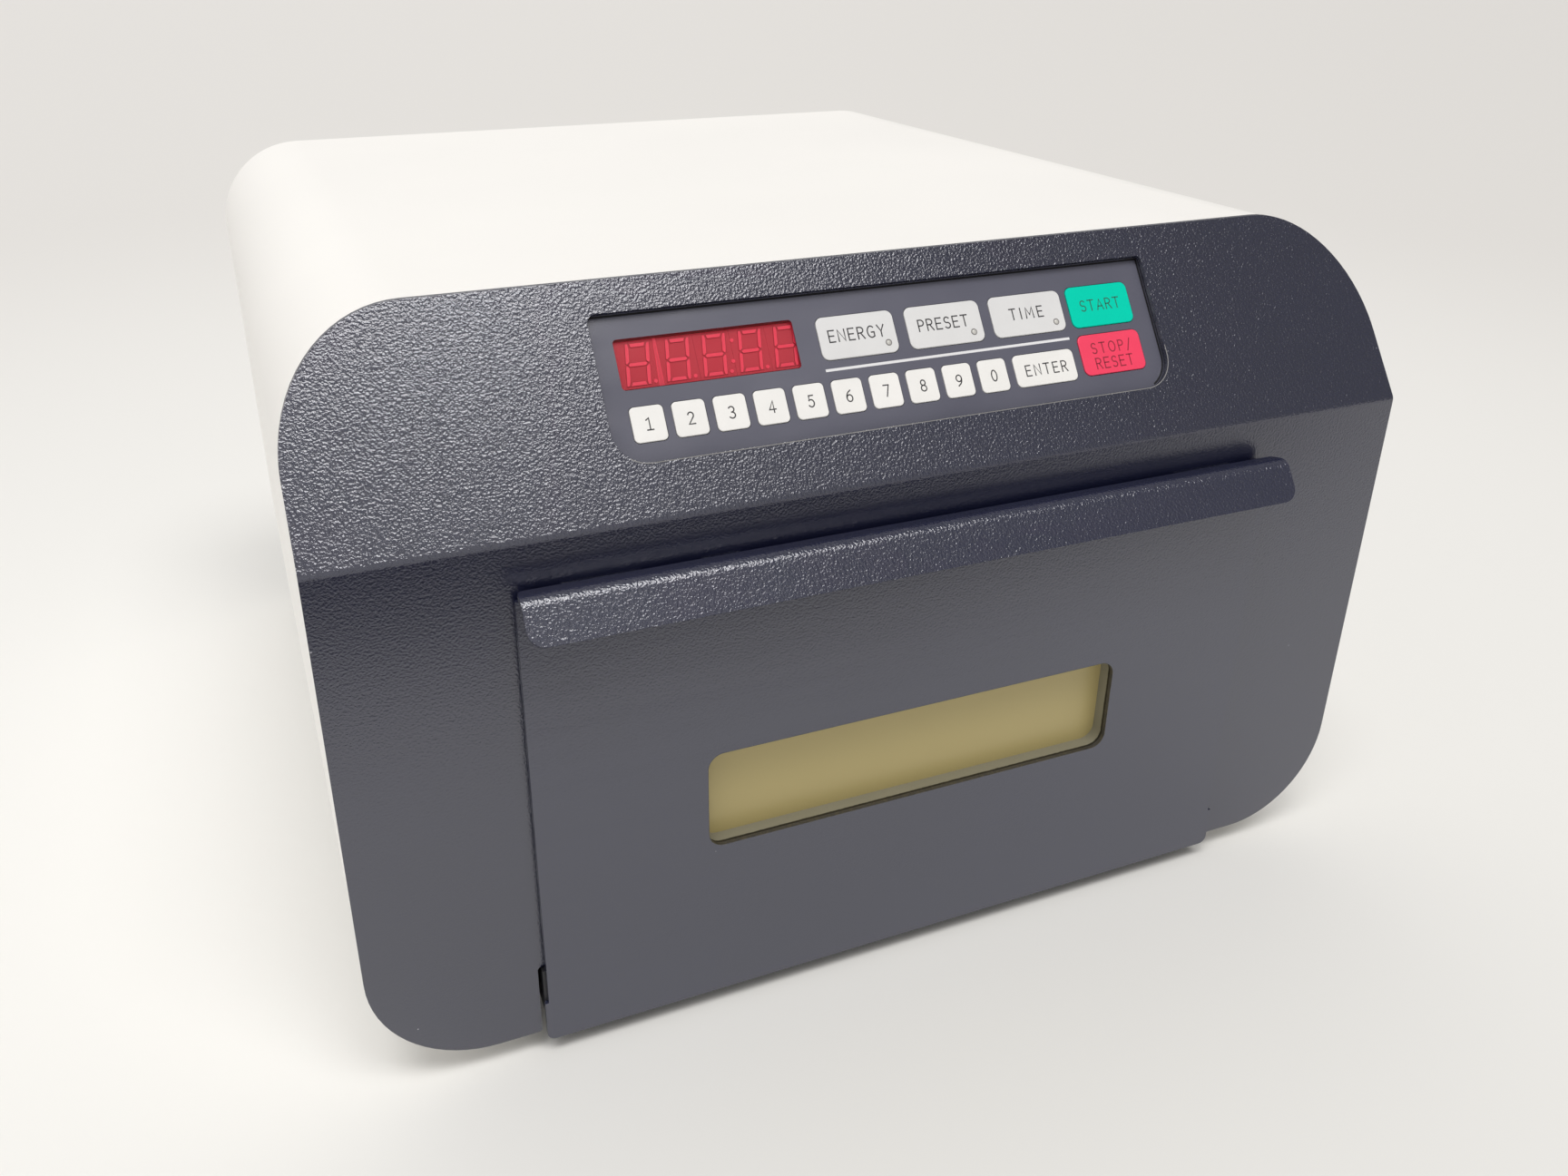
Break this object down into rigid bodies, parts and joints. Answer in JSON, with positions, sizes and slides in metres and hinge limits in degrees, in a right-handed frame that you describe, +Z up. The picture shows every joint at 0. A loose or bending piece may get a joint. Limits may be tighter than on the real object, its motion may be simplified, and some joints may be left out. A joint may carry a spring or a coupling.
{
  "type": "ultraviolet crosslinker",
  "caption": "Bench cabinet that exposes gels, membranes and small samples to ultraviolet lamps behind a drop-down door, with a sloping key panel and a digital display.",
  "frame": {"origin": "centre of the footprint, on the surface that the feet stand on", "axes": "+X to the right seen from the front, +Y to the back, +Z up"},
  "size_m": [0.387, 0.4048, 0.252],
  "materials": {
    "front_coat": "dark blue-grey powder coat with a fine leather grain",
    "door_coat": "dark blue-grey powder coat, smoother on the flat of the door",
    "cover_coat": "warm white powder coat, fine and smooth",
    "rear_coat": "off-white powder coat",
    "plated_sheet": "zinc-plated sheet",
    "dark_steel": "black-coated steel of the hinges and the panel tray",
    "chamber_sheet": "bright reflector sheet with faint rolling marks",
    "lamp_glass": "clear quartz tube",
    "lamp_cap": "drawn cap",
    "pin_metal": "bare contact pins",
    "socket_plastic": "white moulded lamp socket",
    "ballast_coat": "grey enamelled ballast can",
    "sensor_plastic": "black moulded housing",
    "overlay_film": "grey-blue printed film with a fine texture",
    "key_white": "white key",
    "key_green": "green key",
    "key_red": "red key",
    "red_filter": "clear red filter",
    "segment_red": "unlit red light segments",
    "module_black": "deep red face of the digit modules",
    "circuit_board": "green solder mask",
    "screw_steel": "zinc-plated fasteners",
    "black_plastic": "black moulding",
    "fuse_glass": "glass fuse tube with metal caps",
    "gasket_grey": "grey spacer frame",
    "amber_filter": "amber ultraviolet filter sheet",
    "foot_rubber": "black rubber"
  },
  "bodies": {
    "frame": {"ballasts": "ballast_coat", "base_pan": "plated_sheet", "board_standoffs": "screw_steel", "catch_magnets": "black_plastic", "chamber_floor": "chamber_sheet", "chamber_left_wall": "chamber_sheet", "chamber_rear_wall": "chamber_sheet", "chamber_right_wall": "chamber_sheet", "control_board": "circuit_board", "cover": "cover_coat", "cover_screws": "screw_steel", "digit_modules": "module_black", "digit_segments": "segment_red", "display_window": "red_filter", "foot_screws": "screw_steel", "front_bezel": "front_coat", "hinge_brackets": "dark_steel", "hinge_pins": "dark_steel", "inlet_pins": "pin_metal", "interlock_switch": "black_plastic", "keypad_overlay": "overlay_film", "lamp_bases": "lamp_cap", "lamp_brackets": "chamber_sheet", "lamp_pins": "pin_metal", "lamp_reflector": "chamber_sheet", "lamp_sockets": "socket_plastic", "panel_plate": "dark_steel", "power_inlet": "black_plastic", "rear_panel": "rear_coat", "rear_screws": "screw_steel", "rubber_feet": "foot_rubber", "switch_housing": "black_plastic", "uv_lamps": "lamp_glass", "uv_sensor": "sensor_plastic"},
    "door": {"door_skin": "door_coat", "window_gasket": "gasket_grey", "door_window": "amber_filter", "door_liner": "plated_sheet", "door_screws": "screw_steel", "hinge_ears": "dark_steel", "strike_plates": "plated_sheet"},
    "key_0": {"key_0": "key_white"},
    "key_1": {"key_1": "key_white"},
    "key_2": {"key_2": "key_white"},
    "key_3": {"key_3": "key_white"},
    "key_4": {"key_4": "key_white"},
    "key_5": {"key_5": "key_white"},
    "key_6": {"key_6": "key_white"},
    "key_7": {"key_7": "key_white"},
    "key_8": {"key_8": "key_white"},
    "key_9": {"key_9": "key_white"},
    "key_energy": {"key_energy": "key_white"},
    "key_enter": {"key_enter": "key_white"},
    "key_preset": {"key_preset": "key_white"},
    "key_start": {"key_start": "key_green"},
    "key_stop": {"key_stop": "key_red"},
    "key_time": {"key_time": "key_white"},
    "power_rocker": {"power_rocker": "black_plastic"},
    "fuse_drawer": {"fuse_drawer": "black_plastic", "fuse": "fuse_glass"}
  },
  "joints": [
    {"name": "door_hinge", "type": "hinge", "parent": "frame", "child": "door", "pos_m": [0, -0.17612, 0.027], "axis": [1, 0, 0], "range_deg": [0, 90]},
    {"name": "key_0_press", "type": "slide", "parent": "frame", "child": "key_0", "axis": [0, 0.8261, -0.5636], "range_m": [0, 0.0004], "stiffness_N_per_m": 2500, "springref_m": -0.0002},
    {"name": "key_1_press", "type": "slide", "parent": "frame", "child": "key_1", "axis": [0, 0.8261, -0.5636], "range_m": [0, 0.0004], "stiffness_N_per_m": 2500, "springref_m": -0.0002},
    {"name": "key_2_press", "type": "slide", "parent": "frame", "child": "key_2", "axis": [0, 0.8261, -0.5636], "range_m": [0, 0.0004], "stiffness_N_per_m": 2500, "springref_m": -0.0002},
    {"name": "key_3_press", "type": "slide", "parent": "frame", "child": "key_3", "axis": [0, 0.8261, -0.5636], "range_m": [0, 0.0004], "stiffness_N_per_m": 2500, "springref_m": -0.0002},
    {"name": "key_4_press", "type": "slide", "parent": "frame", "child": "key_4", "axis": [0, 0.8261, -0.5636], "range_m": [0, 0.0004], "stiffness_N_per_m": 2500, "springref_m": -0.0002},
    {"name": "key_5_press", "type": "slide", "parent": "frame", "child": "key_5", "axis": [0, 0.8261, -0.5636], "range_m": [0, 0.0004], "stiffness_N_per_m": 2500, "springref_m": -0.0002},
    {"name": "key_6_press", "type": "slide", "parent": "frame", "child": "key_6", "axis": [0, 0.8261, -0.5636], "range_m": [0, 0.0004], "stiffness_N_per_m": 2500, "springref_m": -0.0002},
    {"name": "key_7_press", "type": "slide", "parent": "frame", "child": "key_7", "axis": [0, 0.8261, -0.5636], "range_m": [0, 0.0004], "stiffness_N_per_m": 2500, "springref_m": -0.0002},
    {"name": "key_8_press", "type": "slide", "parent": "frame", "child": "key_8", "axis": [0, 0.8261, -0.5636], "range_m": [0, 0.0004], "stiffness_N_per_m": 2500, "springref_m": -0.0002},
    {"name": "key_9_press", "type": "slide", "parent": "frame", "child": "key_9", "axis": [0, 0.8261, -0.5636], "range_m": [0, 0.0004], "stiffness_N_per_m": 2500, "springref_m": -0.0002},
    {"name": "key_energy_press", "type": "slide", "parent": "frame", "child": "key_energy", "axis": [0, 0.8261, -0.5636], "range_m": [0, 0.0004], "stiffness_N_per_m": 2500, "springref_m": -0.0002},
    {"name": "key_enter_press", "type": "slide", "parent": "frame", "child": "key_enter", "axis": [0, 0.8261, -0.5636], "range_m": [0, 0.0004], "stiffness_N_per_m": 2500, "springref_m": -0.0002},
    {"name": "key_preset_press", "type": "slide", "parent": "frame", "child": "key_preset", "axis": [0, 0.8261, -0.5636], "range_m": [0, 0.0004], "stiffness_N_per_m": 2500, "springref_m": -0.0002},
    {"name": "key_start_press", "type": "slide", "parent": "frame", "child": "key_start", "axis": [0, 0.8261, -0.5636], "range_m": [0, 0.0004], "stiffness_N_per_m": 2500, "springref_m": -0.0002},
    {"name": "key_stop_press", "type": "slide", "parent": "frame", "child": "key_stop", "axis": [0, 0.8261, -0.5636], "range_m": [0, 0.0004], "stiffness_N_per_m": 2500, "springref_m": -0.0002},
    {"name": "key_time_press", "type": "slide", "parent": "frame", "child": "key_time", "axis": [0, 0.8261, -0.5636], "range_m": [0, 0.0004], "stiffness_N_per_m": 2500, "springref_m": -0.0002},
    {"name": "rocker_tilt", "type": "hinge", "parent": "frame", "child": "power_rocker", "pos_m": [0.08, 0.19448, 0.066], "axis": [1, 0, 0], "range_deg": [0, 16]},
    {"name": "fuse_drawer_slide", "type": "slide", "parent": "frame", "child": "fuse_drawer", "axis": [0, 1, 0], "range_m": [0, 0.012]}
  ]
}
